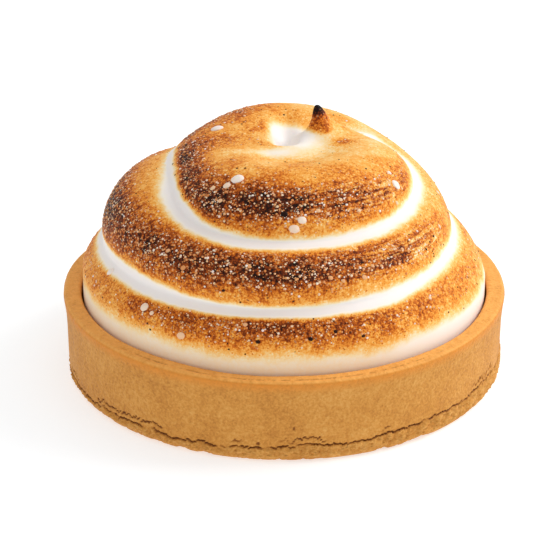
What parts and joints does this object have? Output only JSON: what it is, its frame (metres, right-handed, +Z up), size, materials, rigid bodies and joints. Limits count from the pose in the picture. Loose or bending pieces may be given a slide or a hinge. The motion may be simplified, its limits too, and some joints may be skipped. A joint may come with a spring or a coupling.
{
  "type": "lemon meringue pie",
  "caption": "Small round lemon meringue pie: a straight-sided shortcrust case under a piped, torched spiral of meringue that ends in a burnt tip beside a hollow.",
  "frame": {"origin": "centre of the pastry case's flat base, on the surface that it stands on", "axes": "+Z up through the middle of the case; +X to the right and -Y towards the side that shows both the hollow and the tip from the front"},
  "size_m": [0.0802, 0.0798, 0.048],
  "materials": {
    "pastry": "baked shortcrust, matte, sandy and finely pitted",
    "meringue": "satin white meringue, torched golden to dark brown along the wraps, with fine sugar blisters"
  },
  "bodies": {
    "root": {"pastry_case": "pastry", "meringue": "meringue"}
  },
  "joints": []
}
